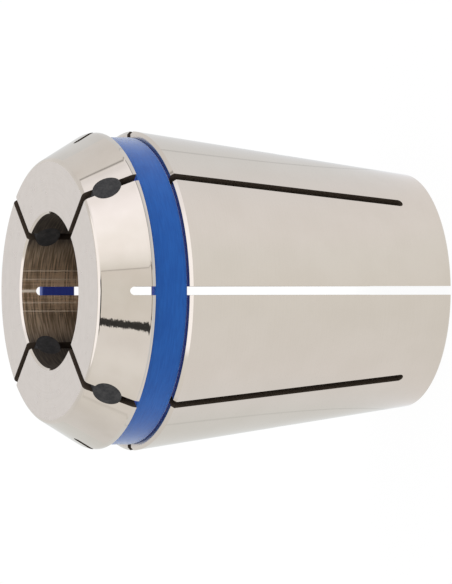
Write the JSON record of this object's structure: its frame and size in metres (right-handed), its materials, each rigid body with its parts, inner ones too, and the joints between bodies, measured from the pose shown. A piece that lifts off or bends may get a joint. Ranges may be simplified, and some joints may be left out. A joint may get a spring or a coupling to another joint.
{
  "type": "er collet",
  "caption": "Slit conical spring collet for a round tool shank, with a steep nose cone, rubber plugs sealing the slots at the nose and a coloured ring in its groove.",
  "frame": {"origin": "centre of the rear face, the small end of the long taper", "axes": "+Z runs along the bore from the rear face to the nose, and the collet stands on its rear face; the slots that open at the rear face lie on the X and Y axes, and the slots that open at the nose lie midway between them"},
  "size_m": [0.033, 0.033, 0.04],
  "materials": {
    "ground_steel": "fine ground and polished outside, drawn scratches in the bore",
    "blue_ring": "satin, with a fine turned texture",
    "seal_rubber": "dull moulded rubber"
  },
  "bodies": {
    "root": {"collet_body": "ground_steel", "groove_ring": "blue_ring", "seal_plug_1": "seal_rubber", "seal_plug_2": "seal_rubber", "seal_plug_3": "seal_rubber", "seal_plug_4": "seal_rubber"}
  },
  "joints": []
}
